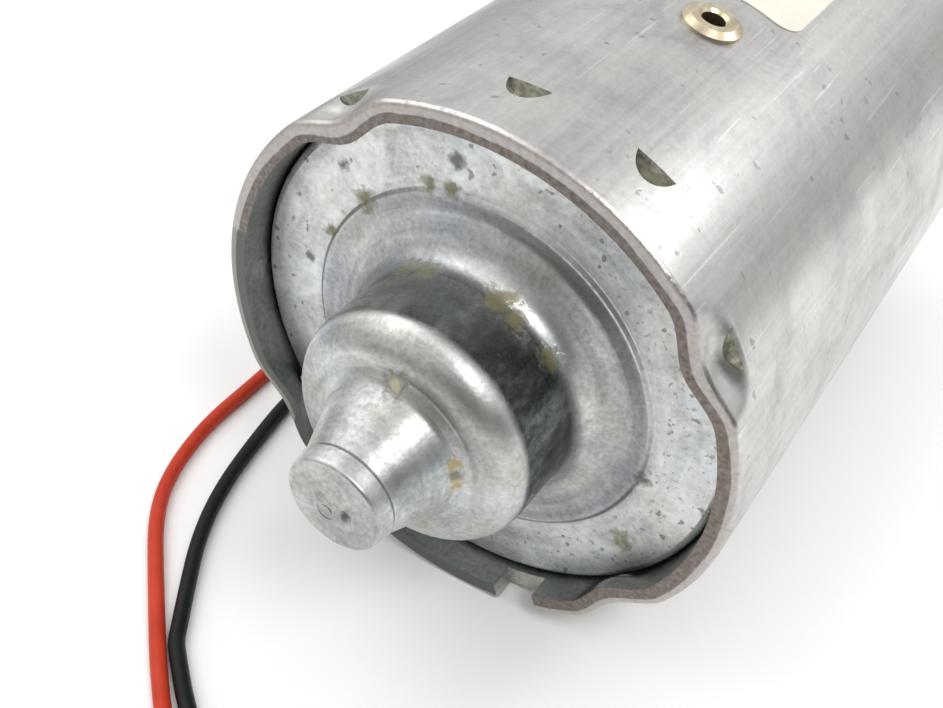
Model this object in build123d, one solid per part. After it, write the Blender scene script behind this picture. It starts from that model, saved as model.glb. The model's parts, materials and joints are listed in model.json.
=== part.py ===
from build123d import *
import os
from math import atan2, cos, degrees, pi, radians, sin, tan

# Brushed permanent-magnet DC motor, in millimetres.
#
# The motor lies on its side: the shaft leaves along +Y, +Z is up and the table is at z = -CAN_RADIUS.
# The origin is on the shaft's axis, in the plane of the mounting face at the drive end.
# Pieces are built upright, with the axis along Z, and are laid down when they are written.
# A clock angle is counted from the top of the lying motor towards +X.

# Driving dimensions: can and rear cap
CAN_RADIUS = 35.0
CAN_SHEET = 2.5
CAN_DEPTH = 104.0  # mounting face to the crimped rim
CAP_SHEET = 1.25
CAP_RADIUS = 32.3
CAP_SETBACK = 4.0  # rim to the cap's raised ring
NECK_RADIUS = 15.25
CLOCK = 17.7  # the stator's plane of symmetry

# Driving dimensions: shaft and bearings
SHAFT_RADIUS = 7.0
JOURNAL_RADIUS = 6.0
OUTPUT_RADIUS = 5.0
OUTPUT_END = 34.0
UNDERCUT = 15.2  # parts the output end's plain stretch from the flatted one
FLAT_START = 16.0
FLAT_HEIGHT = 4.2
RELIEF = 0.4  # depth of the shaft's undercuts
BEARING_RADIUS = 14.0
BEARING_WIDTH = 8.0
BALL_RADIUS = 2.3
BALL_CIRCLE = 10.0
BALL_COUNT = 8
GROOVE_RADIUS = 2.45
RACE_CHAMFER = 0.6

# Driving dimensions: armature and magnets
CORE_RADIUS = 23.6
CORE_FRONT = -35.0
CORE_REAR = -79.0
SLOT_COUNT = 12
INSULATOR = 0.8
COMMUTATOR_RADIUS = 12.0
BAR_COUNT = 24
MAGNET_INNER = 24.5
MAGNET_SPAN = 128.0
MAGNET_FRONT = -30.0
MAGNET_REAR = -86.0
KEEPER_SHEET = 1.5

# Driving dimensions: brush gear
CARD_FRONT = -5.0
CARD_REAR = -7.0
BRUSH_HEIGHT = -11.65
BRUSH_TANGENT = 6.0
BRUSH_AXIAL = 8.0
BRUSH_BACK = 21.0
HOLDER_BACK = 27.5

# Driving dimensions: drive-end face
MOUNT_CIRCLE = 24.0
MOUNT_HOLE = 1.65
MOUNT_CLOCKS = (45, 135, 225, 315)
CARD_RIVET_CIRCLE = 26.0
CARD_RIVET_CLOCKS = (0, 180)
CARD_RIVET_SHANK = 1.4
BOSS_RADIUS = BEARING_RADIUS + CAN_SHEET
BOSS_HEIGHT = BEARING_WIDTH + CAN_SHEET

# Driving dimensions: leads
LEAD_RADIUS = 1.1
LEAD_CLOCK = -105.0
LEAD_HEIGHT = -14.0
LEAD_HALF_PITCH = 2.1
GROMMET_HOLE = 5.0
LUG_RADIUS = 26.0
BARREL_RADIUS = 1.25

INNER_RADIUS = CAN_RADIUS - CAN_SHEET
RIM = -CAN_DEPTH
RING = RIM + CAP_SETBACK
JOIN = -9.0  # where the can's side wall meets its drawn drive end

# Crimps at the rim: clock angle of each, and the dent's (height, depth, half width in degrees)
CRIMP_CLOCKS = (-26.5, 62.0, 136.9, -120.3)
CRIMP_STAGES = (
    (RIM, 1.9, 13.0),
    (RIM + 1.6, 1.75, 12.0),
    (RIM + 2.8, 1.25, 11.0),
    (RIM + 4.0, 0.15, 10.0),
    (RIM + 5.0, 0.0, 10.0),
)
CRIMP_SHEAR = RIM + 4.0
CRIMP_RUN = 3.2
CRIMP_CHORD = 5.0
CRIMP_BITE = 1.75
RIM_ROUNDING = 0.6
LANCE_SHEAR = RING + 5.7  # the sheared ends of the lanced tongues behind the cap
LANCE_RUN = 3.1
LANCE_DEPTH = 2.3
LANCE_CHORD = 5.5
LANCE_OFFSET = 12.8  # to either side of the plane of symmetry
LANCE_CLOCKS = [CLOCK + turn + side * LANCE_OFFSET for turn in (0, 180) for side in (-1, 1)]
NOTCH_CLOCK = 164.7
NOTCH_WIDTH = 6.0
NOTCH_DEPTH = 3.5
RIVET_HEIGHT = RING + 33.2
RIVET_SHANK = 2.3
LABEL_LOW = RING + 41.5
LABEL_HIGH = RING + 89.5
LABEL_CLOCK = -5.0
LABEL_SPAN = 71.0
LABEL_CORNER = 3.0
REAR_BEARING = RING - 11.8 + BEARING_WIDTH / 2


def at_clock(clock, shape):
    """Turns a shape or a place that was built on +X to a clock angle."""
    return Rot(0, 0, clock - 90) * shape


def ring(low, high, inner, outer):
    """A plain ring about the axis."""
    middle = Pos(0, 0, (low + high) / 2)
    return middle * (Cylinder(outer, high - low) - Cylinder(inner, high - low))


def turned(*corners):
    """A solid turned about the axis from (radius, height) corners."""
    outline = Polyline(*[(r, 0, z) for r, z in corners], close=True)
    return revolve(make_face(outline), Axis.Z)


def sector(low, high, inner, outer, clock, span):
    """An arched block about the axis, centred on a clock angle."""
    outline = Polyline((inner, 0, low), (outer, 0, low), (outer, 0, high), (inner, 0, high), close=True)
    return Rot(0, 0, clock - 90 - span / 2) * revolve(make_face(outline), Axis.Z, revolution_arc=span)


def spoke(low, high, radius, height):
    """A round bar on +X, pointing away from the axis."""
    return Pos((low + high) / 2, 0, height) * Rot(0, 90, 0) * Cylinder(radius, high - low)


def pressed_sheet(corners, bends, thickness):
    """Sheet drawn to a turned shape, from its outer skin's corners and bends, one thickness inwards."""
    skin = FilletPolyline(*[(r, 0, z) for r, z in corners], radius=bends)
    section = Wire(skin.edges()).offset_2d(thickness, kind=Kind.INTERSECTION, side=Side.RIGHT, closed=True)
    return revolve(make_face(section), Axis.Z)


def dented_face(radius, height, depth, half_width):
    """The can's round outline at one height, pressed in at each crimp."""
    points = []
    for step in range(144):
        angle = 2.5 * step
        reach = radius
        for clock in CRIMP_CLOCKS:
            away = abs((angle - (clock - 90) + 180) % 360 - 180)
            if away < half_width:
                reach -= depth * cos(radians(90 * away / half_width)) ** 2
        points.append((reach * cos(radians(angle)), reach * sin(radians(angle)), height))
    return make_face(Spline(*points, periodic=True))


def crimped_band():
    """The can's wall from the rim up to where its crimps end."""
    outside, inside = (
        loft([dented_face(radius, *stage) for stage in CRIMP_STAGES]) for radius in (CAN_RADIUS, INNER_RADIUS)
    )
    outside = fillet(outside.edges().group_by(Axis.Z)[0], RIM_ROUNDING)
    return outside - inside


def punch_radius(chord, depth):
    """Radius of the round punch that leaves a chord this wide at this depth."""
    return (chord * chord / 4 + depth * depth) / (2 * depth)


def tongue(chord, depth, shear, run, backing):
    """A tongue sheared at one height and pressed in: its pocket, and the metal pushed through behind it."""
    radius = punch_radius(chord, depth)
    slope = Vector(-depth, 0, run).normalized()
    outward = Vector(run, 0, depth).normalized()
    middle = Vector(CAN_RADIUS - depth / 2, 0, shear - run / 2) + outward * radius
    tilted = Plane(origin=middle, z_dir=slope)
    near_side = Pos(CAN_RADIUS, 0, shear - 10) * Box(30, 30, 20)
    pocket = tilted * Cylinder(radius, 14) & near_side
    bulge = tilted * Cylinder(radius + backing, 14) & near_side
    bulge = bulge & ring(shear - run, shear, 25, CAN_RADIUS - 2.2)
    return pocket, bulge


def can_front():
    """Closed drive end of the can: rounded shoulder, mounting face with its holes, bearing boss."""
    outline = [
        (CAN_RADIUS, JOIN),
        (CAN_RADIUS, 0),
        (BOSS_RADIUS, 0),
        (BOSS_RADIUS, BOSS_HEIGHT),
        (7.5, BOSS_HEIGHT),
    ]
    front = pressed_sheet(outline, [4.5, 1.0, 3.0], CAN_SHEET)
    for clock in MOUNT_CLOCKS:
        place = at_clock(clock, Pos(MOUNT_CIRCLE, 0, -2.2))
        front = front + place * Cylinder(MOUNT_HOLE + 1.1, 3.2) - place * Cylinder(MOUNT_HOLE, 8)
    for clock in CARD_RIVET_CLOCKS:
        front -= at_clock(clock, Pos(CARD_RIVET_CIRCLE, 0, 0) * flush_rivet(0.0))
    return front


def make_can():
    """Drawn steel can: crimped open rim, side wall with its punched tongues and holes, closed drive end."""
    wall = ring(CRIMP_STAGES[-1][0], JOIN, INNER_RADIUS, CAN_RADIUS) + crimped_band()
    pressed = []
    cuts = []
    lance = tongue(LANCE_CHORD, LANCE_DEPTH, LANCE_SHEAR, LANCE_RUN, 1.2)
    crimp = tongue(CRIMP_CHORD, CRIMP_BITE, CRIMP_SHEAR, CRIMP_RUN, 1.2)
    for clocks, (pocket, bulge) in ((LANCE_CLOCKS, lance), (CRIMP_CLOCKS, crimp)):
        for clock in clocks:
            pressed.append(at_clock(clock, bulge))
            cuts.append(at_clock(clock, pocket))
    notch = Pos(CAN_RADIUS, 0, RIM + NOTCH_DEPTH / 2) * Box(12, NOTCH_WIDTH, NOTCH_DEPTH)
    cuts.append(at_clock(NOTCH_CLOCK, notch))
    cuts.append(at_clock(LEAD_CLOCK, spoke(28, 40, GROMMET_HOLE, LEAD_HEIGHT)))
    for clock in (CLOCK, CLOCK + 180):
        cuts.append(at_clock(clock, spoke(30, CAN_RADIUS + 5, RIVET_SHANK, RIVET_HEIGHT)))
    for bulge in pressed:
        wall += bulge
    for cut in cuts:
        wall -= cut
    return wall + can_front()


def flush_rivet(upset):
    """A countersunk rivet hanging from the mounting face, with its upset head behind the brush card."""
    profile = [(0, 0), (2.6, 0), (CARD_RIVET_SHANK, -1.2), (CARD_RIVET_SHANK, CARD_REAR)]
    if upset:
        profile += [(upset, CARD_REAR), (upset, CARD_REAR - 0.9)]
    return turned(*profile, (0, profile[-1][1]))


def make_rear_cap():
    """Drawn rear cap: curled edge, flat annulus, raised ring, neck over the bearing, cone and closed nose.

    Its outline is given as (radius, height over the raised ring, towards the nose).
    """
    outline = [
        (CAP_RADIUS, -3.6),
        (CAP_RADIUS, -0.2),
        (23.4, -0.2),
        (22.9, 0.25),
        (20.6, 0.15),
        (NECK_RADIUS, 1.7),
        (NECK_RADIUS, 16.1),
        (10.4, 16.1),
        (8.9, 17.0),
        (6.15, 24.2),
        (6.3, 24.6),
        (5.95, 26.85),
        (0, 26.85),
    ]
    bends = [1.0, 0.3, 0.35, 2.0, 3.4, 4.2, 0.5, 1.5, 0.3, 0.1, 0.5]
    cap = pressed_sheet(outline, bends, CAP_SHEET)
    cap -= Pos(-1.0, -1.3) * ring(26.77, 27.0, 0.75, 1.15)
    cap -= Pos(1.8, -0.5, 27.3) * Sphere(0.85)
    return Pos(0, 0, RING) * Rot(180, 0, 0) * cap


def hollow_rivet():
    """Eyelet on +X: domed head outside the can, shank through can and magnet keeper, flared inside.

    Both outlines are given as (height over a surface, radius about the rivet's own axis).
    """
    over_skin = [(-0.8, 1.5), (-0.8, 3.75), (0.3, 3.75), (0.85, 2.9), (0.85, 1.9), (0.5, 1.5)]
    over_keeper = [(-1.2, 1.6), (-1.2, 3.2), (-0.5, 3.2), (-0.1, RIVET_SHANK)]
    keeper = INNER_RADIUS - KEEPER_SHEET
    head = [(CAN_RADIUS + x, r) for x, r in over_skin]
    shank = [(keeper + x, r) for x, r in over_keeper]
    shank += [(CAN_RADIUS + 0.2, RIVET_SHANK), (CAN_RADIUS + 0.2, 1.5)]
    through = Axis((0, 0, RIVET_HEIGHT), (1, 0, 0))
    solids = []
    for corners in (head, shank):
        outline = Polyline(*[(x, 0, RIVET_HEIGHT + r) for x, r in corners], close=True)
        solids.append(revolve(make_face(outline), through))
    seat = Pos(0, 0, RIVET_HEIGHT) * Cylinder(CAN_RADIUS, 12)
    return solids[0] - seat + solids[1]


def magnet_keeper():
    """Spring-steel channel on +X that lies between the two magnets' edges and is riveted to the can."""
    low, high = MAGNET_REAR - 2, MAGNET_FRONT + 2
    back = INNER_RADIUS - KEEPER_SHEET
    keeper = sector(low, high, back, INNER_RADIUS - 0.05, 90, 46)
    for edge in (-22.2, 22.2):
        keeper += sector(low, high, 26.5, back + 0.5, 90 + edge, 1.6)
    return keeper - spoke(back - 2, CAN_RADIUS + 1, RIVET_SHANK, RIVET_HEIGHT)


def bearing(middle):
    """Pieces of one deep-groove ball bearing, centred at a height."""
    low = middle - BEARING_WIDTH / 2
    high = middle + BEARING_WIDTH / 2
    groove = Pos(0, 0, middle) * Torus(BALL_CIRCLE, GROOVE_RADIUS)
    outer = turned(
        (11.9, low),
        (BEARING_RADIUS - RACE_CHAMFER, low),
        (BEARING_RADIUS, low + RACE_CHAMFER),
        (BEARING_RADIUS, high - RACE_CHAMFER),
        (BEARING_RADIUS - RACE_CHAMFER, high),
        (11.9, high),
    )
    outer -= groove
    inner = ring(low, high, JOURNAL_RADIUS, 8.1) - groove
    shields = [ring(middle + s - 0.15, middle + s + 0.15, 8.4, 11.9) for s in (-3.6, 3.6)]
    places = [Rot(0, 0, 360 * k / BALL_COUNT) * Pos(BALL_CIRCLE, 0, middle) for k in range(BALL_COUNT)]
    balls = [place * Sphere(BALL_RADIUS) for place in places]
    cage = ring(middle + 0.9, middle + 3.0, 9.0, 11.0)
    for place in places:
        cage -= place * Sphere(GROOVE_RADIUS)
    return {
        "outer_race": outer,
        "inner_race": inner,
        "shields": shields,
        "balls": balls,
        "cage": cage,
    }


def make_shaft():
    """Stepped shaft: flatted output end, two journals, and a plain tail inside the cap's nose."""
    rear_seat = REAR_BEARING + BEARING_WIDTH / 2
    shaft = turned(
        (0, OUTPUT_END),
        (OUTPUT_RADIUS - 0.6, OUTPUT_END),
        (OUTPUT_RADIUS, OUTPUT_END - 0.6),
        (OUTPUT_RADIUS, FLAT_START),
        (OUTPUT_RADIUS - RELIEF, FLAT_START),
        (OUTPUT_RADIUS - RELIEF, UNDERCUT),
        (OUTPUT_RADIUS, UNDERCUT),
        (OUTPUT_RADIUS, BEARING_WIDTH + 0.6),
        (JOURNAL_RADIUS, BEARING_WIDTH + 0.1),
        (JOURNAL_RADIUS, -0.1),
        (JOURNAL_RADIUS - RELIEF, -0.1),
        (JOURNAL_RADIUS - RELIEF, -1.3),
        (JOURNAL_RADIUS, -1.3),
        (JOURNAL_RADIUS, -6.0),
        (SHAFT_RADIUS, -6.0),
        (SHAFT_RADIUS, rear_seat),
        (JOURNAL_RADIUS, rear_seat),
        (JOURNAL_RADIUS, rear_seat - 9.0),
        (4.0, rear_seat - 9.4),
        (4.0, RING - 19.6),
        (3.4, RING - 20.2),
        (0, RING - 20.2),
    )
    cut_size = 20
    flat = Pos(0, -FLAT_HEIGHT - cut_size / 2, FLAT_START - 0.2 + cut_size / 2)
    return shaft - flat * Box(cut_size, cut_size, cut_size)


def slot_outline(margin):
    """One winding slot's section on +X, drawn in by a margin on every side."""
    corners = [
        (13.4 + margin, 1.75 - margin),
        (21.2 - margin, 3.6 - margin),
        (21.2 - margin, margin - 3.6),
        (13.4 + margin, margin - 1.75),
    ]
    return make_face(Polyline(*corners, close=True))


def slotted_disc(low, high, radius):
    """Toothed disc of the armature, between two heights."""
    disc = Circle(radius) - Circle(SHAFT_RADIUS)
    for k in range(SLOT_COUNT):
        mouth = Pos(22.5, 0) * Rectangle(4.0, 2.2)
        disc -= Rot(0, 0, 360 * k / SLOT_COUNT) * (slot_outline(0) + mouth)
    return Pos(0, 0, low) * extrude(disc, high - low)


def make_windings():
    """Enamelled copper coils: a bundle in every slot, joined by a winding head at each end."""
    front_face = CORE_FRONT + INSULATOR
    rear_face = CORE_REAR - INSULATOR
    front_head = [(9.6, -26.5), (12, -25), (18, -26.5), (20.6, -29.5)]
    rear_head = [(9.0, -86.5), (11.5, -88.5), (18, -88.0), (20.6, -84.5)]
    front = turned(*front_head, (20.6, front_face), (9.6, front_face))
    rear = turned(*rear_head, (20.6, rear_face), (9.0, rear_face))
    bundle = Pos(0, 0, rear_face) * extrude(slot_outline(0.3), front_face - rear_face)
    windings = front + rear
    for k in range(SLOT_COUNT):
        windings += Rot(0, 0, 360 * k / SLOT_COUNT) * bundle
    return windings


def commutator_bars():
    """Copper bars with their risers, parted by narrow gaps."""
    pitch = 360 / BAR_COUNT
    bars = []
    for k in range(BAR_COUNT):
        bar = sector(-20.0, -6.5, 9.6, COMMUTATOR_RADIUS, pitch * k, pitch - 2.6)
        bars.append(bar + sector(-23.0, -20.0, 9.6, 14.0, pitch * k, pitch - 5.0))
    return bars


def brush():
    """Carbon brush on +X, hollowed to the commutator, with its copper shunt leaving at the back."""
    length = BRUSH_BACK - 10
    block = Pos(10 + length / 2, 0, BRUSH_HEIGHT) * Box(length, BRUSH_TANGENT, BRUSH_AXIAL)
    block -= Pos(0, 0, BRUSH_HEIGHT) * Cylinder(COMMUTATOR_RADIUS + 0.08, 20)
    return block


def brush_shunt():
    """Braided shunt of one brush: it runs through the spring and slides out of the holder's end."""
    return spoke(BRUSH_BACK, HOLDER_BACK + 1.4, 0.5, BRUSH_HEIGHT)


def brush_holder():
    """Brass box on +X that guides one brush and backs its spring."""
    gap = 0.1
    wall = 0.7
    thin_wall = 0.55
    mouth = 14.5
    wide = BRUSH_TANGENT + 2 * gap
    high = BRUSH_AXIAL + 2 * gap
    length = HOLDER_BACK + wall - mouth
    box = Pos(mouth + length / 2, 0, BRUSH_HEIGHT) * Box(length, wide + 2 * wall, high + 2 * thin_wall)
    bore = HOLDER_BACK - 10
    box -= Pos(10 + bore / 2, 0, BRUSH_HEIGHT) * Box(bore, wide, high)
    return box - spoke(20, 40, 0.9, BRUSH_HEIGHT)


def brush_spring():
    """Coil spring on +X between the brush's back and the holder's end."""
    wire = 0.25
    length = HOLDER_BACK - BRUSH_BACK - 2 * wire - 0.2
    coil = Helix(pitch=length / 5, height=length, radius=2.2)
    section = Plane(origin=coil @ 0, z_dir=coil % 0) * Circle(wire)
    return Pos(BRUSH_BACK + wire + 0.1, 0, BRUSH_HEIGHT) * Rot(0, 90, 0) * sweep(section, path=coil)


def brush_card():
    """Laminate ring that carries the brush gear, with a foot round each rivet."""
    card = ring(CARD_REAR, CARD_FRONT, 16.0, INNER_RADIUS - 0.3)
    for clock in CARD_RIVET_CLOCKS:
        foot_top, foot_low = -CAN_SHEET, CARD_FRONT - 0.5
        foot = Pos(CARD_RIVET_CIRCLE, 0, (foot_top + foot_low) / 2)
        card += at_clock(clock, foot * Cylinder(3.2, foot_top - foot_low))
        card -= at_clock(clock, foot * Cylinder(CARD_RIVET_SHANK, 10))
    for clock in MOUNT_CLOCKS:
        card -= at_clock(clock, Pos(MOUNT_CIRCLE, 0, -4) * Cylinder(3.2, 10))
    return card


def lead_place(side):
    """Clock angle of one lead's hole in the grommet."""
    return LEAD_CLOCK + side * degrees(LEAD_HALF_PITCH / CAN_RADIUS)


def lead_lug(side):
    """Brass lug on the brush card; a lead is welded to its outer face."""
    sheet, far_end = 0.8, -16.0
    middle = Pos(LUG_RADIUS - sheet / 2, 0, (CARD_REAR + far_end) / 2)
    return at_clock(lead_place(side), middle * Box(sheet, 2.2, CARD_REAR - far_end))


def lead_grommet():
    """Rubber grommet in the side of the can, with a hole for each lead."""
    seat = Pos(0, 0, LEAD_HEIGHT) * Cylinder(CAN_RADIUS, 30)
    outside = spoke(CAN_RADIUS - 1.0, CAN_RADIUS + 1.8, 6.8, LEAD_HEIGHT) - seat
    inside = spoke(INNER_RADIUS - 1.7, CAN_RADIUS, 6.6, LEAD_HEIGHT) & ring(-30, 0, 5, INNER_RADIUS)
    neck = spoke(INNER_RADIUS - 1.0, CAN_RADIUS + 1.0, GROMMET_HOLE, LEAD_HEIGHT)
    grommet = at_clock(LEAD_CLOCK, outside + inside + neck)
    for side in (-1, 1):
        grommet -= at_clock(lead_place(side), spoke(25, 45, LEAD_RADIUS + 0.02, LEAD_HEIGHT))
    return grommet


def black_jumper():
    """Insulated link along the card from the black lead's lug to the far brush holder."""
    section = Plane.XZ * Pos(31.0, CARD_REAR - 1.3) * Circle(0.9)
    return Rot(0, 0, 106 - 90) * revolve(section, Axis.Z, revolution_arc=140)


def rating_label():
    """Blank paper label on the can, beside the rivet, with rounded corners."""
    label = sector(LABEL_LOW, LABEL_HIGH, CAN_RADIUS, CAN_RADIUS + 0.12, LABEL_CLOCK, LABEL_SPAN)
    inset = degrees(LABEL_CORNER / CAN_RADIUS)
    for side in (-1, 1):
        for height, out in ((LABEL_LOW, -1), (LABEL_HIGH, 1)):
            centre = height - out * LABEL_CORNER
            square = Pos(CAN_RADIUS, side * LABEL_CORNER, centre + out * LABEL_CORNER)
            waste = square * Box(6, 2 * LABEL_CORNER, 2 * LABEL_CORNER) - spoke(30, 40, LABEL_CORNER, centre)
            label -= at_clock(LABEL_CLOCK + side * (LABEL_SPAN / 2 - inset), waste)
    return label


# Lead routes in the laid-down motor, from the lug outwards
RED_ROUTE = [
    (-42.2, -14.0, -8.7),
    (-50.0, -20.0, -17.0),
    (-53.5, -32.0, -28.0),
    (-53.0, -50.0, -33.9),
    (-50.8, -71.5, -33.9),
    (-49.8, -90.0, -33.9),
    (-49.5, -100.5, -33.9),
    (-46.8, -111.0, -33.9),
    (-42.4, -118.6, -33.9),
    (-33.5, -127.2, -33.9),
    (-19.8, -140.0, -33.9),
    (-4.5, -151.2, -33.9),
    (12.0, -160.0, -33.9),
    (25.5, -171.5, -33.0),
]
BLACK_ROUTE = [
    (-39.9, -14.0, -13.4),
    (-44.6, -20.5, -22.0),
    (-45.8, -33.0, -31.0),
    (-44.6, -50.0, -33.9),
    (-42.6, -70.0, -33.9),
    (-42.8, -88.0, -33.9),
    (-40.5, -100.0, -33.9),
    (-37.9, -110.0, -33.9),
    (-34.0, -118.6, -33.9),
    (-28.2, -127.0, -33.9),
    (-25.2, -131.2, -33.9),
    (-24.0, -132.9, -33.9),
    (-22.2, -134.4, -33.9),
    (-15.5, -139.6, -33.9),
    (1.0, -149.6, -33.9),
    (17.5, -155.5, -33.9),
    (34.5, -159.0, -33.0),
]


def lead_start(side):
    """Outer face of a lead's lug, in the laid-down motor."""
    clock = radians(lead_place(side))
    return (LUG_RADIUS * sin(clock), LEAD_HEIGHT, LUG_RADIUS * cos(clock))


def route_tube(route):
    """Tube along straight runs and tangent arcs; prints its radii and compares its volume."""
    points = [Vector(*p) for p in route]
    runs = [b - a for a, b in zip(points, points[1:])]
    radii = []
    for before, after in zip(runs, runs[1:]):
        half_turn = radians(before.get_angle(after)) / 2
        radii.append(0.45 * min(before.length, after.length) / tan(half_turn))
    path = FilletPolyline(*points, radius=radii)
    tube = sweep(Plane(origin=path @ 0, z_dir=path % 0) * Circle(LEAD_RADIUS), path=path)
    share = tube.volume / (pi * LEAD_RADIUS**2 * path.length)
    print("lead", round(path.length, 1), "mm, radii", [round(r, 1) for r in radii])
    print("volume share", round(share, 4))
    return tube


def at_route_end(route, shape):
    """Carries a shape from its own frame (+X onwards from the lead's end) to the end of a route."""
    last, end = Vector(*route[-2]), Vector(*route[-1])
    turn = degrees(atan2(end.Y - last.Y, end.X - last.X))
    return Pos(end.X, end.Y, end.Z) * Rot(0, 0, turn) * shape


def lead_terminal():
    """Crimped receptacle: barrel over the conductor and a flat slotted box."""
    barrel = Pos(2.52, 0, 0) * Rot(0, 90, 0) * Cylinder(BARREL_RADIUS, 5.0)
    box = Pos(8.5, 0, 0) * Box(7.4, 5.6, 1.9)
    slot = Pos(9.5, 0, 0) * Box(7.0, 4.6, 0.9)
    return barrel + box - slot


def terminal_sleeve():
    """Flattened nylon sleeve round one receptacle."""
    outer = Pos(6.6, 0, 0) * Box(11.8, 7.2, 3.6)
    outer = fillet(outer.edges().filter_by(Axis.X), 1.3)
    bore = Pos(8.9, 0, 0) * Box(9.0, 5.8, 2.1)
    inlet = Pos(2.5, 0, 0) * Rot(0, 90, 0) * Cylinder(BARREL_RADIUS, 5.0)
    return outer - bore - inlet


def group(shapes):
    """Identical pieces kept as separate solids of one node."""
    return Compound([solid for shape in shapes for solid in shape.solids()])


def upright_pieces():
    """Every piece of the motor but its leads, with the axis upright."""
    magnet = sector(MAGNET_REAR, MAGNET_FRONT, MAGNET_INNER, INNER_RADIUS - 0.05, 90, MAGNET_SPAN)
    pieces = {
        "can": make_can(),
        "rear_cap": make_rear_cap(),
        "magnet_left": at_clock(CLOCK - 90, magnet),
        "magnet_right": at_clock(CLOCK + 90, magnet),
        "magnet_keeper_top": at_clock(CLOCK, magnet_keeper()),
        "magnet_keeper_bottom": at_clock(CLOCK + 180, magnet_keeper()),
        "hollow_rivets": group(at_clock(CLOCK + turn, hollow_rivet()) for turn in (0, 180)),
        "rating_label": rating_label(),
        "rear_wave_washer": ring(RING - 13.2, RING - 12.0, 9.6, 12.4),
        "brush_card": brush_card(),
        "card_rivets": group(
            at_clock(c, Pos(CARD_RIVET_CIRCLE, 0, 0) * flush_rivet(2.4)) for c in CARD_RIVET_CLOCKS
        ),
        "red_lug": lead_lug(1),
        "black_lug": lead_lug(-1),
        "black_jumper": black_jumper(),
        "lead_grommet": lead_grommet(),
        "shaft": make_shaft(),
        "front_circlip": ring(-1.2, -0.2, JOURNAL_RADIUS - RELIEF, 8.4),
        "front_spacer": ring(-5.9, -1.4, JOURNAL_RADIUS, 8.6),
        "commutator_hub": ring(-24.0, -6.1, SHAFT_RADIUS, 9.6),
        "commutator_bars": group(commutator_bars()),
        "armature_core": slotted_disc(CORE_REAR, CORE_FRONT, CORE_RADIUS),
        "core_insulator_front": slotted_disc(CORE_FRONT, CORE_FRONT + INSULATOR, CORE_RADIUS - 0.4),
        "core_insulator_rear": slotted_disc(CORE_REAR - INSULATOR, CORE_REAR, CORE_RADIUS - 0.4),
        "armature_windings": make_windings(),
    }
    for side, clock in (("left", -90), ("right", 90)):
        pieces[f"brush_{side}"] = at_clock(clock, brush())
        pieces[f"brush_shunt_{side}"] = at_clock(clock, brush_shunt())
        pieces[f"brush_holder_{side}"] = at_clock(clock, brush_holder())
        pieces[f"brush_spring_{side}"] = at_clock(clock, brush_spring())
    for end, middle in (("front", BEARING_WIDTH / 2), ("rear", REAR_BEARING)):
        for name, piece in bearing(middle).items():
            pieces[f"{end}_bearing_{name}"] = group(piece) if isinstance(piece, list) else piece
    return pieces


def lead_pieces():
    """The two leads and their terminals, in the laid-down motor."""
    pieces = {}
    for colour, side, route in (("red", 1, RED_ROUTE), ("black", -1, BLACK_ROUTE)):
        pieces[f"{colour}_lead"] = route_tube([lead_start(side), *route])
        pieces[f"{colour}_terminal"] = at_route_end(route, lead_terminal())
        pieces[f"{colour}_terminal_sleeve"] = at_route_end(route, terminal_sleeve())
    return pieces


os.makedirs("parts", exist_ok=True)
lay_down = Rot(-90, 0, 0)
laid = {name: lay_down * piece for name, piece in upright_pieces().items()}
laid.update(lead_pieces())
for name, piece in laid.items():
    export_step(piece, f"parts/{name}.step")
print(len(laid), "nodes")
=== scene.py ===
import json
from math import pi, radians

import bpy
from mathutils import Matrix, Vector


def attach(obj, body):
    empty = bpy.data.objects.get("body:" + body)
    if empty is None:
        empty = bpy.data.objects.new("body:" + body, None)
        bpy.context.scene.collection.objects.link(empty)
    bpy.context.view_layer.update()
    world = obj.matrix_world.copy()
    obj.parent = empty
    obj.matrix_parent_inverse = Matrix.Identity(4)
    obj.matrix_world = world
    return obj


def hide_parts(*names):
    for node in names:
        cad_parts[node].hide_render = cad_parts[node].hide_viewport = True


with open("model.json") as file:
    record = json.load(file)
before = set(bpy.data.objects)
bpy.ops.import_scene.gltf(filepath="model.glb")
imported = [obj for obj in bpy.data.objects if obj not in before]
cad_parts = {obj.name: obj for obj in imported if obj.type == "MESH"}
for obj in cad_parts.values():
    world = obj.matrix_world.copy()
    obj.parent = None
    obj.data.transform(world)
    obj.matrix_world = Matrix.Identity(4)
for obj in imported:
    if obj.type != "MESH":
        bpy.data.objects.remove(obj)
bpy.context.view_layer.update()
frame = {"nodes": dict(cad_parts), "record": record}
nodes = frame["nodes"]

MM = 0.001

# The motor in the row frame, in metres: the shaft lies along Y and the rear cap faces -Y.
# Clock angles go round the shaft in radians, from 0 at the top towards +X.
CAN_RADIUS = 0.035
CAN_BORE = 0.0325
RIM = -0.104
RIM_TOP = (radians(-73), radians(98))
RIM_LOWER_RIGHT = (radians(98), radians(163))
RIM_LOWER_LEFT = (radians(-125), radians(-73))
CRIMPS = [radians(clock) for clock in (-26.5, 62.0, 136.9, -120.3)]
CRIMP_HALF_ANGLE = radians(13.0)
CRIMP_DEPTH = 0.0019
SHEARS = (-0.1, -0.0943)  # where the crimps' and the lances' tongues are sheared off

# Radii on the cap, and the neck's run along the shaft
ANNULUS = (0.0240, 0.0330)
SLOPE = (0.0165, 0.0232)
GROOVE = (0.0209, 0.0227)
NECK = (0.0140, 0.0160)
NECK_RUN = (-0.1125, -0.1035)

CAMERA_PLACE = (0.05674, -0.18618, 0.08643)
CAMERA_VIEW = (-0.42816, 0.64485, -0.63313)
FOCAL_LENGTH = 43.3


# Camera


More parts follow.
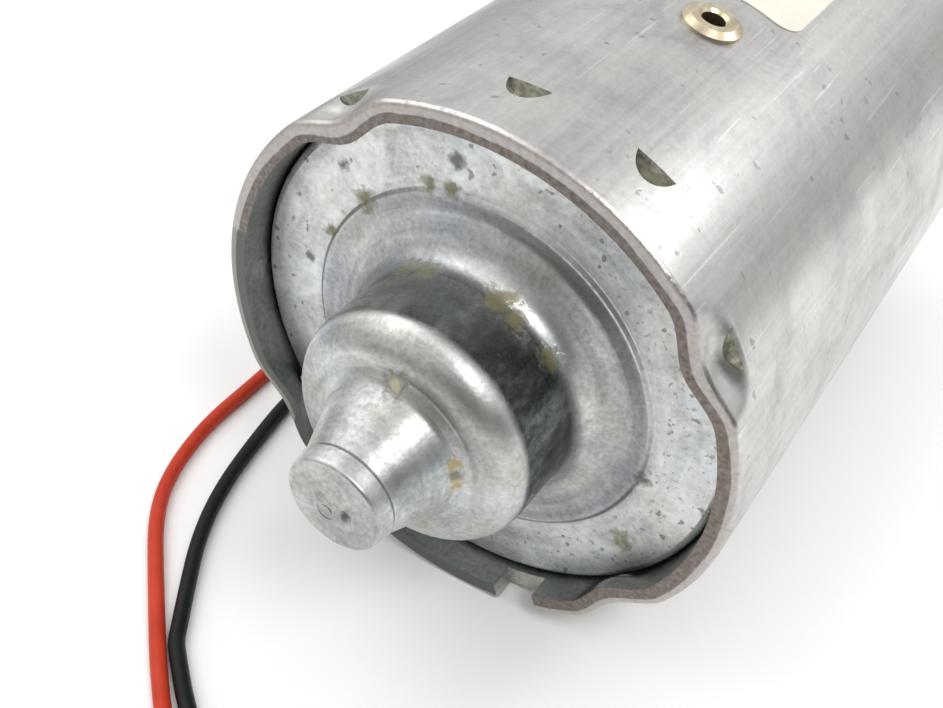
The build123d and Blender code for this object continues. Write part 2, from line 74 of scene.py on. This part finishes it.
def make_camera():
    """The camera looks down on the rear cap from its right, close to the motor."""
    camera = bpy.data.objects.new("camera", bpy.data.cameras.new("camera"))
    bpy.context.scene.collection.objects.link(camera)
    forward = Vector(CAMERA_VIEW).normalized()
    right = forward.cross(Vector((0, 0, 1))).normalized()
    up = right.cross(forward)
    turn = Matrix((right, up, -forward)).transposed().to_4x4()
    camera.matrix_world = Matrix.Translation(CAMERA_PLACE) @ turn
    camera.data.sensor_width = 36
    camera.data.lens = FOCAL_LENGTH
    camera.data.clip_start = 0.01
    bpy.context.scene.camera = camera


# Shader graphs


class Finish:
    """A material under construction: short calls for the nodes that the finishes share.

    Every node's object sits at the row frame's origin, so Object coordinates are the row frame in metres.
    """

    def __init__(self, name):
        self.material = bpy.data.materials.new(name)
        self.material.use_nodes = True
        self.tree = self.material.node_tree
        self.shader = next(n for n in self.tree.nodes if n.type == "BSDF_PRINCIPLED")

    def plug(self, source, socket):
        """Links a node's output to a socket, or sets the socket to a plain value."""
        if isinstance(source, bpy.types.NodeSocket):
            self.tree.links.new(source, socket)
        else:
            socket.default_value = source

    def node(self, kind, *inputs, **settings):
        """Adds a node with its settings and its first inputs, and returns it."""
        node = self.tree.nodes.new(kind)
        for name, value in settings.items():
            setattr(node, name, value)
        for value, socket in zip(inputs, node.inputs):
            if value is not None:
                self.plug(value, socket)
        return node

    def place(self):
        """Object coordinates: the row frame, in metres."""
        return self.node("ShaderNodeTexCoord").outputs["Object"]

    def math(self, operation, *inputs):
        """One operation on numbers."""
        return self.node("ShaderNodeMath", *inputs, operation=operation).outputs[0]

    def scaled(self, *factors):
        """Coordinates stretched by a factor along each axis."""
        return self.node("ShaderNodeVectorMath", self.place(), factors, operation="MULTIPLY").outputs[0]

    def polar(self):
        """Distance along the shaft's axis, radius about it, and clock angle."""
        x, y, z = self.node("ShaderNodeSeparateXYZ", self.place()).outputs
        radius = self.math("SQRT", self.math("ADD", self.math("POWER", x, 2.0), self.math("POWER", z, 2.0)))
        return y, radius, self.math("ARCTAN2", x, z)

    def turned(self, along, across, around):
        """Coordinates for a piece turned about the Y axis: distance along, across and around it."""
        y, radius, angle = self.polar()
        parts = (self.math("MULTIPLY", v, k) for v, k in ((radius, across), (y, along), (angle, around)))
        return self.node("ShaderNodeCombineXYZ", *parts).outputs[0]

    def facing_rear(self):
        """1 where the surface faces the rear, -Y, and 0 elsewhere."""
        normal = self.node("ShaderNodeTexCoord").outputs["Normal"]
        return self.span(self.node("ShaderNodeSeparateXYZ", normal).outputs[1], -0.6, -0.85)

    def within(self, value, low, high, soft):
        """1 between two numbers, fading out over a soft edge."""
        rise = self.span(value, low - soft, low + soft)
        return self.math("MULTIPLY", rise, self.span(value, high - soft, high + soft, 1.0, 0.0))

    def spot(self, centre, size, ragged=0.5):
        """1 inside a ragged, soft-edged patch about a place in millimetres."""
        middle = [MM * v for v in centre]
        away = self.node("ShaderNodeVectorMath", self.place(), middle, operation="DISTANCE").outputs["Value"]
        reach = self.math("DIVIDE", away, MM * size)
        wander = self.span(self.noise(self.place(), 1000.0, 3.0, 0.55), 0.3, 0.7, -ragged, ragged)
        return self.span(self.math("ADD", reach, wander), 1.25, 0.35)

    def noise(self, vector, scale, detail=4.0, roughness=0.6, distortion=0.0):
        """Smooth noise from 0 to 1."""
        node = self.node("ShaderNodeTexNoise")
        self.plug(vector, node.inputs["Vector"])
        names = ("Scale", "Detail", "Roughness", "Distortion")
        for name, value in zip(names, (scale, detail, roughness, distortion)):
            node.inputs[name].default_value = value
        return node.outputs[0]

    def ramp(self, value, *stops):
        """Colour or number by steps: each stop is (place, colour) or (place, number)."""
        node = self.node("ShaderNodeValToRGB", value)
        elements = node.color_ramp.elements
        while len(elements) < len(stops):
            elements.new(0.5)
        for element, (position, colour) in zip(elements, stops):
            element.position = position
            element.color = (*((colour,) * 3 if isinstance(colour, (int, float)) else colour), 1.0)
        return node.outputs[0]

    def span(self, value, low, high, to_low=0.0, to_high=1.0):
        """Maps a number from one range to another, clamped."""
        return self.node("ShaderNodeMapRange", value, low, high, to_low, to_high).outputs[0]

    def mix(self, share, first, second, blend="MIX"):
        """Mixes two colours."""
        node = self.node("ShaderNodeMix", data_type="RGBA", blend_type=blend)
        self.plug(share, node.inputs["Factor"])
        for value, socket in ((first, node.inputs[6]), (second, node.inputs[7])):
            self.plug((*value, 1.0) if isinstance(value, tuple) else value, socket)
        return node.outputs[2]

    def shade(self, share, colour, value, dark, light):
        """Darkens and lightens a colour by a noise: overlays a grey that runs from dark to light."""
        return self.mix(share, colour, self.ramp(value, (0.3, dark), (0.7, light)), "OVERLAY")

    def bump(self, height, distance, strength, normal=None):
        """Surface relief of a height from 0 to 1 times a distance in metres."""
        node = self.node("ShaderNodeBump")
        node.inputs["Strength"].default_value = strength
        node.inputs["Distance"].default_value = distance
        self.plug(height, node.inputs["Height"])
        if normal is not None:
            self.plug(normal, node.inputs["Normal"])
        return node.outputs[0]

    def surface(self, **sockets):
        """Connects or sets the shader's sockets and returns the finished material."""
        for name, value in sockets.items():
            socket = self.shader.inputs[name.replace("_", " ")]
            self.plug((*value, 1.0) if isinstance(value, tuple) and len(value) == 3 else value, socket)
        return self.material


def rim_depth(f, radius, angle):
    """Depth below the can's skin on the rim's face, following the crimps."""
    depth = f.math("SUBTRACT", CAN_RADIUS, radius)
    for clock in CRIMPS:
        away = f.math("ABSOLUTE", f.math("WRAP", f.math("SUBTRACT", angle, clock), pi, -pi))
        wave = f.math("COSINE", f.span(away, 0.0, CRIMP_HALF_ANGLE, 0.0, pi))
        dent = f.math("MULTIPLY_ADD", wave, CRIMP_DEPTH / 2, CRIMP_DEPTH / 2)
        depth = f.math("SUBTRACT", depth, dent)
    return depth


def rim_colours(f, grit):
    """The rim's face: a burnished band along the outer edge and torn metal within it, with painted shade
    making the burnished band darker at the lower left.
    """
    _, radius, angle = f.polar()
    ragged = f.noise(f.turned(60.0, 60.0, 3.5), 1.0, 6.0, 0.6)
    sheared = f.math("ADD", *(f.within(angle, *clocks, 0.01) for clocks in (RIM_TOP, RIM_LOWER_RIGHT)))
    lower_left = f.within(angle, *RIM_LOWER_LEFT, 0.01)
    narrowing = f.span(angle, radians(45), radians(85), 1.0, 0.45)
    reach = f.math("MULTIPLY", f.span(ragged, 0.3, 0.7, 0.0007, 0.0012), narrowing)
    reach = f.math("MULTIPLY_ADD", sheared, reach, 0.0005)
    reach = f.math("MULTIPLY_ADD", lower_left, 0.0006, reach)
    burnish = f.span(f.math("SUBTRACT", rim_depth(f, radius, angle), reach), 0.00008, -0.00008)
    torn = f.ramp(grit, (0.3, (0.15, 0.125, 0.11)), (0.7, (0.30, 0.265, 0.24)))
    torn = f.mix(sheared, (0.15, 0.155, 0.145), torn)
    rolled = f.ramp(grit, (0.3, (0.44, 0.41, 0.39)), (0.7, (0.58, 0.55, 0.53)))
    # Painted shade: at the lower left the burnished band is painted a flat darker grey instead of the rolled
    # edge's colour.
    return f.mix(burnish, torn, f.mix(lower_left, rolled, (0.34, 0.34, 0.32)))


def tongue_ends(f, y, radius, rear, grit):
    """Where the sheared ends of the tongues show in the wall, and their dull colour."""
    near_shears = f.math("ADD", *(f.within(y, shear - 0.0004, shear + 0.002, 0.0004) for shear in SHEARS))
    in_the_wall = f.span(radius, CAN_BORE - 0.0003, CAN_BORE + 0.0001)
    where = f.math("MULTIPLY", f.math("MULTIPLY", rear, near_shears), in_the_wall)
    depth = f.span(radius, CAN_RADIUS - 0.0017, CAN_RADIUS - 0.0003)
    colour = f.mix(depth, (0.30, 0.29, 0.20), (0.13, 0.13, 0.10))
    return where, f.mix(f.span(grit, 0.35, 0.65), colour, (0.46, 0.45, 0.35))


def can_steel():
    """Zinc-plated can: drawn lengthwise, clouded, scratched and pitted, with a bare sheared rim."""
    f = Finish("zinc_plated_can")
    y, radius, _ = f.polar()
    lines = f.noise(f.scaled(1300.0, 26.0, 1300.0), 1.0, 5.0, 0.65)
    bands = f.noise(f.scaled(150.0, 9.0, 150.0), 1.0, 3.0, 0.5)
    clouds = f.noise(f.place(), 120.0, 7.0, 0.62, 0.6)
    grit = f.noise(f.place(), 1500.0, 3.0, 0.6)
    tones = (0.32, (0.44, 0.43, 0.425)), (0.5, (0.53, 0.525, 0.51)), (0.7, (0.59, 0.595, 0.57))
    colour = f.ramp(clouds, *tones)
    colour = f.shade(0.22, colour, lines, 0.3, 0.75)
    colour = f.shade(0.16, colour, bands, 0.3, 0.75)
    colour = f.shade(0.3, colour, grit, 0.38, 0.62)
    pits = f.span(f.noise(f.place(), 620.0, 2.0, 0.4), 0.70, 0.76)
    colour = f.mix(f.math("MULTIPLY", pits, 0.45), colour, (0.12, 0.115, 0.10))
    scratches = f.span(f.noise(f.scaled(2600.0, 70.0, 1900.0), 1.0, 1.0, 0.4), 0.70, 0.74)
    colour = f.mix(f.math("MULTIPLY", scratches, 0.4), colour, (0.86, 0.86, 0.84))
    rear = f.facing_rear()
    face = f.math("MULTIPLY", rear, f.span(y, RIM + 0.0012, RIM + 0.0006))
    colour = f.mix(face, colour, rim_colours(f, grit))
    tongue, dull = tongue_ends(f, y, radius, rear, grit)
    colour = f.mix(tongue, colour, dull)
    # Painted shade: the can's inner wall just inside the rim is painted a dark grey-green.
    near_rim = f.span(y, RIM + 0.012, RIM + 0.0105, 0.0, 0.8)
    inner_wall_shade = f.math("MULTIPLY", f.span(radius, CAN_BORE + 0.00035, CAN_BORE + 0.0001), near_rim)
    inner_wall_shade = f.math("MULTIPLY", inner_wall_shade, f.math("SUBTRACT", 1.0, rear))
    colour = f.mix(inner_wall_shade, colour, f.ramp(grit, (0.3, (0.13, 0.145, 0.135)), (0.7, (0.26, 0.275, 0.255))))
    rough = f.span(f.math("ADD", clouds, bands), 0.7, 1.3, 0.40, 0.25)
    rough = f.math("MAXIMUM", rough, f.math("MULTIPLY", face, 0.5))
    relief = f.bump(lines, 0.00002, 0.5)
    relief = f.bump(clouds, 0.00012, 0.5, relief)
    relief = f.bump(f.math("MULTIPLY", grit, face), 0.00012, 0.8, relief)
    relief = f.bump(f.math("SUBTRACT", 1.0, pits), 0.00002, 0.5, relief)
    bare = f.span(tongue, 0.0, 1.0, 1.0, 0.3)
    return f.surface(Base_Color=colour, Metallic=bare, Roughness=rough, Normal=relief)


# Oil and flux left on the cap, and painted shade in the dent on the nose: place in millimetres, size, colour
CREAM = (0.56, 0.52, 0.38)
YELLOW = (0.40, 0.32, 0.09)
OLIVE = (0.21, 0.19, 0.075)
SOOT_AND_DENT_SHADE = (0.11, 0.105, 0.08)
RESIDUE_AND_DENT_SHADE = (
    ((1.0, -116.5, 9.6), 1.5, SOOT_AND_DENT_SHADE),
    ((1.0, -116.5, 9.6), 0.9, CREAM),
    ((8.8, -117.0, 1.2), 1.0, SOOT_AND_DENT_SHADE),
    ((8.7, -116.9, 2.6), 0.9, YELLOW),
    ((8.9, -117.2, -0.1), 1.0, YELLOW),
    ((-7.0, -104.0, 13.6), 1.7, OLIVE),
    ((-3.5, -104.2, 14.8), 1.5, OLIVE),
    ((5.4, -103.8, 14.2), 2.0, OLIVE),
    ((7.8, -104.2, 13.1), 1.6, OLIVE),
    ((12.0, -103.8, 9.3), 1.5, OLIVE),
    ((-15.0, -99.8, 18.0), 1.5, OLIVE),
    ((-20.7, -99.8, 11.5), 1.0, OLIVE),
    ((-3.2, -99.9, 23.4), 1.1, OLIVE),
    ((-6.2, -99.9, 22.9), 1.0, OLIVE),
    ((-2.5, -99.8, 27.0), 1.1, SOOT_AND_DENT_SHADE),
    ((22.6, -99.9, -6.2), 1.2, SOOT_AND_DENT_SHADE),
    ((21.2, -99.8, -17.6), 1.5, OLIVE),
    ((-18.0, -99.8, 21.5), 0.7, SOOT_AND_DENT_SHADE),
    ((-24.5, -99.8, 6.5), 0.7, SOOT_AND_DENT_SHADE),
    # Painted shade: a dark spot in the dent on the nose
    ((1.5, -126.8, -0.8), 0.7, SOOT_AND_DENT_SHADE),
)


def painted_neck_reflection(f, grain):
    """Painted dark reflection, in streaks round the neck."""
    streaks = f.noise(f.turned(160.0, 160.0, 5.0), 1.0, 6.0, 0.7)
    tones = (0.38, (0.025, 0.032, 0.03)), (0.5, (0.10, 0.115, 0.11)), (0.62, (0.34, 0.37, 0.36))
    return f.shade(0.5, f.ramp(streaks, *tones), grain, 0.3, 0.7)


def speckled(f, colour, flat, angle):
    """Dark freckles, mostly on the flat ring, and finer ones on the ring's right side."""
    freckles = f.span(f.noise(f.place(), 620.0, 2.0, 0.45), 0.665, 0.70)
    freckles = f.math("MULTIPLY", freckles, f.span(flat, 0.0, 1.0, 0.15, 0.7))
    colour = f.mix(freckles, colour, (0.16, 0.155, 0.14))
    warmth = f.span(f.noise(f.place(), 90.0, 3.0, 0.5), 0.4, 0.6)
    colour = f.mix(0.35, colour, f.mix(warmth, (0.46, 0.50, 0.56), (0.55, 0.52, 0.45)), "OVERLAY")
    fine = f.span(f.noise(f.place(), 1300.0, 2.0, 0.5), 0.63, 0.68)
    right = f.math("MULTIPLY", f.span(angle, 0.2, 1.0), flat)
    return f.mix(f.math("MULTIPLY", f.math("MULTIPLY", fine, right), 0.55), colour, (0.20, 0.195, 0.18))


def cap_steel():
    """Zinc-plated cap: mottled and grainy, ringed by its drawing marks, with a painted dark reflection on
    the neck.
    """
    f = Finish("zinc_plated_cap")
    y, radius, angle = f.polar()
    rings = f.noise(f.turned(900.0, 900.0, 1.2), 1.0, 3.0, 0.6)
    broad = f.noise(f.turned(260.0, 260.0, 0.8), 1.0, 2.0, 0.5)
    clouds = f.noise(f.place(), 160.0, 6.0, 0.65, 0.6)
    grain = f.noise(f.place(), 1700.0, 3.0, 0.65)
    cool = f.ramp(clouds, (0.3, (0.46, 0.48, 0.48)), (0.5, (0.60, 0.615, 0.61)), (0.7, (0.78, 0.81, 0.81)))
    flat = f.within(radius, *ANNULUS, 0.0006)
    slope = f.math("MULTIPLY", f.within(radius, *SLOPE, 0.0007), f.span(y, -0.1065, -0.105))
    groove = f.math("MULTIPLY", slope, f.within(radius, *GROOVE, 0.0005))
    neck = f.math("MULTIPLY", f.within(y, *NECK_RUN, 0.0006), f.within(radius, *NECK, 0.0004))
    nose = f.span(y, NECK_RUN[0], NECK_RUN[0] - 0.002, 0.0, 0.65)
    colour = f.mix(f.math("MULTIPLY", slope, 0.55), cool, (0.36, 0.355, 0.37))
    # Painted shade: the groove on the slope is painted darker.
    colour = f.mix(f.math("MULTIPLY", groove, 0.5), colour, (0.24, 0.245, 0.255))
    colour = f.mix(nose, colour, (0.36, 0.37, 0.365))
    colour = f.shade(0.5, colour, broad, 0.3, 0.72)
    colour = f.shade(0.25, colour, rings, 0.25, 0.75)
    colour = f.shade(0.5, colour, grain, 0.32, 0.68)
    # Painted reflection: the neck is painted near-black in streaks, more so towards the right, where it
    # mirrors the dim room.
    dark_reflection_share = f.span(f.math("ADD", angle, f.span(clouds, 0.3, 0.7, -0.6, 0.6)), -0.7, 1.5, 0.35, 0.98)
    colour = f.mix(f.math("MULTIPLY", neck, dark_reflection_share), colour, painted_neck_reflection(f, grain))
    colour = speckled(f, colour, flat, angle)
    spots_and_dent_shade = 0.0
    for centre, size, tint in RESIDUE_AND_DENT_SHADE:
        patch = f.spot(centre, size)
        spots_and_dent_shade = f.math("MAXIMUM", spots_and_dent_shade, patch)
        colour = f.mix(f.math("MULTIPLY", patch, 0.8), colour, tint)
    rough = f.span(f.math("ADD", clouds, grain), 0.7, 1.3, 0.50, 0.33)
    rough = f.math("SUBTRACT", rough, f.math("MULTIPLY", neck, 0.12))
    relief = f.bump(broad, 0.00016, 0.6)
    relief = f.bump(rings, 0.00003, 0.5, relief)
    relief = f.bump(clouds, 0.00010, 0.5, relief)
    relief = f.bump(grain, 0.00003, 0.6, relief)
    relief = f.bump(spots_and_dent_shade, 0.00012, 0.6, relief)
    bare = f.span(spots_and_dent_shade, 0.0, 1.0, 1.0, 0.2)
    return f.surface(Base_Color=colour, Metallic=bare, Roughness=rough, Normal=relief)


def worked_metal(name, deep, pale, rough, stretch=(900.0, 60.0, 900.0)):
    """Plain metal with the marks of its making drawn out along an axis, and clouds of handling."""
    f = Finish(name)
    lines = f.noise(f.scaled(*stretch), 1.0, 5.0, 0.65)
    clouds = f.noise(f.place(), 220.0, 4.0, 0.6)
    colour = f.ramp(lines, (0.3, deep), (0.7, pale))
    colour = f.shade(0.4, colour, clouds, 0.35, 0.68)
    bumps = f.bump(clouds, 0.00004, 0.4, f.bump(lines, 0.00002, 0.6))
    gloss = f.span(f.math("ADD", clouds, lines), 0.7, 1.3, rough + 0.07, rough - 0.07)
    return f.surface(Base_Color=colour, Metallic=1.0, Roughness=gloss, Normal=bumps)


def filled_plastic(name, deep, pale, rough, grain=1600.0, relief=0.00004, stretch=(1.0, 1.0, 1.0)):
    """Moulded, sintered or pressed stuff: a fine grain in two tones over broad clouds."""
    f = Finish(name)
    fine = f.noise(f.scaled(*(grain * k for k in stretch)), 1.0, 4.0, 0.7)
    clouds = f.noise(f.place(), 180.0, 4.0, 0.55)
    colour = f.mix(f.span(fine, 0.3, 0.7), deep, pale)
    colour = f.shade(0.35, colour, clouds, 0.35, 0.65)
    bumps = f.bump(clouds, 2 * relief, 0.3, f.bump(fine, relief, 0.7))
    gloss = f.span(fine, 0.3, 0.7, rough - 0.06, rough + 0.06)
    return f.surface(Base_Color=colour, Roughness=gloss, Normal=bumps)


LAMINATION = 0.0005
WIRE_PITCH = 0.0007
WINDING_RADIUS = 0.014


def stacked_steel():
    """Edges of the armature's stamped sheets."""
    f = Finish("core_steel")
    y, _, _ = f.polar()
    edge = f.math("SINE", f.math("MULTIPLY", y, 2 * pi / LAMINATION))
    rust = f.noise(f.place(), 300.0, 5.0, 0.65)
    colour = f.ramp(rust, (0.3, (0.20, 0.20, 0.21)), (0.65, (0.36, 0.36, 0.37)), (0.8, (0.30, 0.20, 0.14)))
    colour = f.mix(0.4, colour, f.ramp(f.span(edge, -1.0, 1.0), (0.0, 0.25), (1.0, 0.7)), "OVERLAY")
    return f.surface(Base_Color=colour, Metallic=1.0, Roughness=0.45, Normal=f.bump(edge, 0.00003, 0.7))


def wound_copper():
    """Enamelled wire laid side by side in the slots and over the winding heads."""
    f = Finish("enamelled_copper")
    _, radius, angle = f.polar()
    across = f.math("MULTIPLY_ADD", angle, WINDING_RADIUS, radius)
    wires = f.math("SINE", f.math("MULTIPLY", across, 2 * pi / WIRE_PITCH))
    varnish = f.noise(f.place(), 260.0, 4.0, 0.6)
    colour = f.ramp(varnish, (0.3, (0.42, 0.14, 0.05)), (0.7, (0.70, 0.30, 0.12)))
    colour = f.mix(0.45, colour, f.ramp(f.span(wires, -1.0, 1.0), (0.0, 0.2), (1.0, 0.75)), "OVERLAY")
    relief = f.bump(wires, 0.00018, 0.8)
    return f.surface(Base_Color=colour, Metallic=0.7, Roughness=0.25, Normal=relief, Coat_Weight=0.6)


def insulation(name, deep, pale):
    """Extruded PVC: even colour and slight scuffs."""
    f = Finish(name)
    clouds = f.noise(f.place(), 120.0, 3.0)
    scuffs = f.noise(f.place(), 1400.0, 3.0)
    colour = f.ramp(clouds, (0.3, deep), (0.7, pale))
    dust = tuple(0.7 * v + 0.04 for v in pale)
    colour = f.mix(f.span(scuffs, 0.62, 0.78, 0.0, 0.25), colour, dust)
    rough = f.span(scuffs, 0.3, 0.7, 0.36, 0.5)
    relief = f.bump(clouds, 0.00006, 0.5)
    return f.surface(Base_Color=colour, Roughness=rough, Normal=relief, Specular_IOR_Level=0.2)


def make_finishes():
    """One finished material for each of the record's slots."""
    steel_deep, steel_pale = (0.46, 0.46, 0.47), (0.68, 0.68, 0.69)
    return {
        "zinc_plated_can": can_steel(),
        "zinc_plated_cap": cap_steel(),
        "nickel_rivet": worked_metal("nickel_rivet", (0.46, 0.38, 0.25), (0.74, 0.66, 0.50), 0.30),
        "steel_rivet": worked_metal("steel_rivet", steel_deep, steel_pale, 0.38),
        "spring_steel": worked_metal("spring_steel", (0.22, 0.23, 0.26), (0.40, 0.41, 0.45), 0.32),
        "brass": worked_metal("brass", (0.58, 0.42, 0.16), (0.82, 0.66, 0.32), 0.34),
        "tinned_brass": worked_metal("tinned_brass", (0.56, 0.54, 0.50), (0.78, 0.77, 0.73), 0.30),
        "ground_shaft": worked_metal("ground_shaft", steel_deep, steel_pale, 0.22, (60.0, 2600.0, 60.0)),
        "copper": worked_metal(
            "copper", (0.55, 0.26, 0.14), (0.83, 0.47, 0.31), 0.30, (300.0, 1500.0, 300.0)
        ),
        "bearing_steel": worked_metal("bearing_steel", (0.60, 0.60, 0.61), (0.74, 0.74, 0.75), 0.16),
        "core_steel": stacked_steel(),
        "enamelled_copper": wound_copper(),
        "paper_label": filled_plastic("paper_label", (0.70, 0.67, 0.57), (0.78, 0.755, 0.66), 0.60, 2400.0),
        "ferrite": filled_plastic(
            "ferrite", (0.045, 0.045, 0.05), (0.11, 0.11, 0.115), 0.62, 1300.0, 0.00008
        ),
        "phenolic_board": filled_plastic(
            "phenolic_board", (0.26, 0.12, 0.05), (0.44, 0.23, 0.11), 0.46, 900.0, 0.00003, (1.0, 0.2, 0.3)
        ),
        "moulded_phenolic": filled_plastic(
            "moulded_phenolic", (0.07, 0.035, 0.02), (0.15, 0.08, 0.045), 0.40
        ),
        "nylon_sleeve": filled_plastic("nylon_sleeve", (0.74, 0.73, 0.67), (0.84, 0.83, 0.78), 0.36, 700.0),
        "nylon_cage": filled_plastic("nylon_cage", (0.66, 0.62, 0.50), (0.78, 0.75, 0.64), 0.42, 800.0),
        "fibre_insulator": filled_plastic(
            "fibre_insulator", (0.08, 0.22, 0.13), (0.16, 0.34, 0.22), 0.62, 1500.0, 0.00005, (1.0, 1.0, 0.2)
        ),
        "rubber_grommet": filled_plastic(
            "rubber_grommet", (0.012, 0.012, 0.012), (0.03, 0.03, 0.03), 0.66, 2000.0
        ),
        "carbon": filled_plastic("carbon", (0.015, 0.015, 0.017), (0.06, 0.06, 0.065), 0.44, 2200.0),
        "red_insulation": insulation("red_insulation", (0.46, 0.032, 0.012), (0.58, 0.055, 0.022)),
        "black_insulation": insulation("black_insulation", (0.004, 0.005, 0.005), (0.009, 0.011, 0.012)),
    }


def dress(material, *names):
    """Gives CAD nodes a material."""
    for name in names:
        mesh = nodes[name].data
        mesh.materials.clear()
        mesh.materials.append(material)


# Leads


RED_ROUTE = [
    (-25.5, -14.0, -5.2),
    (-42.2, -14.0, -8.7),
    (-50.0, -20.0, -17.0),
    (-53.5, -32.0, -28.0),
    (-53.0, -50.0, -33.9),
    (-50.8, -71.5, -33.9),
    (-49.8, -90.0, -33.9),
    (-49.5, -100.5, -33.9),
    (-46.8, -111.0, -33.9),
    (-42.4, -118.6, -33.9),
    (-33.5, -127.2, -33.9),
    (-19.8, -140.0, -33.9),
    (-4.5, -151.2, -33.9),
    (12.0, -160.0, -33.9),
    (25.5, -171.5, -33.0),
]
BLACK_ROUTE = [
    (-24.7, -14.0, -8.2),
    (-39.9, -14.0, -13.4),
    (-44.6, -20.5, -22.0),
    (-45.8, -33.0, -31.0),
    (-44.6, -50.0, -33.9),
    (-42.6, -70.0, -33.9),
    (-42.8, -88.0, -33.9),
    (-40.5, -100.0, -33.9),
    (-37.9, -110.0, -33.9),
    (-34.0, -118.6, -33.9),
    (-28.2, -127.0, -33.9),
    (-25.2, -131.2, -33.9),
    (-24.0, -132.9, -33.9),
    (-22.2, -134.4, -33.9),
    (-15.5, -139.6, -33.9),
    (1.0, -149.6, -33.9),
    (17.5, -155.5, -33.9),
    (34.5, -159.0, -33.0),
]
LEAD_DIAMETER = 0.0022


def make_lead(colour, route, material):
    """One lead: a smooth line through the route's space, in place of the CAD lead, which is hidden."""
    curve = bpy.data.curves.new(f"{colour}_wire", "CURVE")
    curve.dimensions = "3D"
    curve.bevel_depth = LEAD_DIAMETER / 2
    curve.bevel_resolution = 6
    curve.resolution_u = 16
    curve.use_fill_caps = True
    spline = curve.splines.new("NURBS")
    spline.points.add(len(route) - 1)
    for point, place in zip(spline.points, route):
        point.co = (*(MM * value for value in place), 1.0)
    spline.order_u = 3
    spline.use_endpoint_u = True
    curve.materials.append(material)
    lead = bpy.data.objects.new(f"{colour}_wire", curve)
    bpy.context.scene.collection.objects.link(lead)
    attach(lead, "stator")
    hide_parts(f"{colour}_lead")


# Stage


HALF_FLOOR = 3.0
MIDDLE = (0.0, -0.06, 0.0)
CAP_MIDDLE = (0.0, -0.1, 0.0)
# name, place, what it is aimed at, side in metres, power in watts
LIGHTS = (
    ("window", (0.45, 0.38, 0.50), MIDDLE, 0.28, 1.4),
    ("room", (-0.5, -0.15, 0.8), MIDDLE, 0.8, 2.6),
    ("lamp", (0.41, -0.25, 0.54), CAP_MIDDLE, 0.24, 1.7),
)


def make_floor():
    """White tabletop under the can, grey from 0.45 m out."""
    mesh = bpy.data.meshes.new("tabletop")
    around = ((-1, -1), (1, -1), (1, 1), (-1, 1))
    mesh.from_pydata([(HALF_FLOOR * x, HALF_FLOOR * y, -CAN_RADIUS) for x, y in around], [], [(0, 1, 2, 3)])
    table = bpy.data.objects.new("tabletop", mesh)
    bpy.context.scene.collection.objects.link(table)
    f = Finish("tabletop")
    x, y, _ = f.node("ShaderNodeSeparateXYZ", f.place()).outputs
    away = f.math("SQRT", f.math("ADD", f.math("POWER", x, 2.0), f.math("POWER", y, 2.0)))
    colour = f.ramp(f.span(away, 0.3, 0.45), (0.0, (0.93, 0.93, 0.92)), (1.0, (0.40, 0.40, 0.40)))
    f.surface(Base_Color=colour, Roughness=0.6)
    mesh.materials.append(f.material)


def make_light(name, place, target, side, power):
    """One square soft box, aimed at a point."""
    lamp = bpy.data.lights.new(name, "AREA")
    lamp.shape = "SQUARE"
    lamp.size = side
    lamp.energy = power
    light = bpy.data.objects.new(name, lamp)
    bpy.context.scene.collection.objects.link(light)
    light.location = place
    light.rotation_euler = (Vector(target) - Vector(place)).to_track_quat("-Z", "Y").to_euler()


def make_room():
    """A white room around the motor, dim behind the camera and dimmer at the horizon than overhead."""
    world = bpy.data.worlds.new("studio")
    bpy.context.scene.world = world
    world.use_nodes = True
    tree = world.node_tree
    background = next(n for n in tree.nodes if n.type == "BACKGROUND")
    direction = tree.nodes.new("ShaderNodeTexCoord").outputs["Generated"]
    toward_dim = tree.nodes.new("ShaderNodeVectorMath")
    toward_dim.operation = "DOT_PRODUCT"
    toward_dim.inputs[1].default_value = Vector((0.75, -0.62, -0.1)).normalized()
    tree.links.new(direction, toward_dim.inputs[0])
    ramp = tree.nodes.new("ShaderNodeValToRGB")
    tree.links.new(toward_dim.outputs["Value"], ramp.inputs[0])
    for element, (position, level) in zip(ramp.color_ramp.elements, ((0.35, 1.0), (0.8, 0.06))):
        element.position = position
        element.color = (level, level, level, 1.0)
    height = tree.nodes.new("ShaderNodeSeparateXYZ")
    tree.links.new(direction, height.inputs[0])
    horizon = tree.nodes.new("ShaderNodeMapRange")
    tree.links.new(height.outputs[2], horizon.inputs["Value"])
    for socket, value in zip(horizon.inputs[1:5], (0.0, 0.3, 0.55, 1.0)):
        socket.default_value = value
    both = tree.nodes.new("ShaderNodeVectorMath")
    both.operation = "MULTIPLY"
    tree.links.new(ramp.outputs[0], both.inputs[0])
    tree.links.new(horizon.outputs[0], both.inputs[1])
    tree.links.new(both.outputs[0], background.inputs["Color"])
    background.inputs["Strength"].default_value = 0.92


make_camera()
bpy.context.scene.view_settings.view_transform = "Standard"
finishes = make_finishes()
make_lead("red", RED_ROUTE, finishes["red_insulation"])
make_lead("black", BLACK_ROUTE, finishes["black_insulation"])
make_floor()
make_room()
for settings in LIGHTS:
    make_light(*settings)
for part in frame["record"]["subparts"]:
    dress(finishes[part["material_slot"]], part["node"])
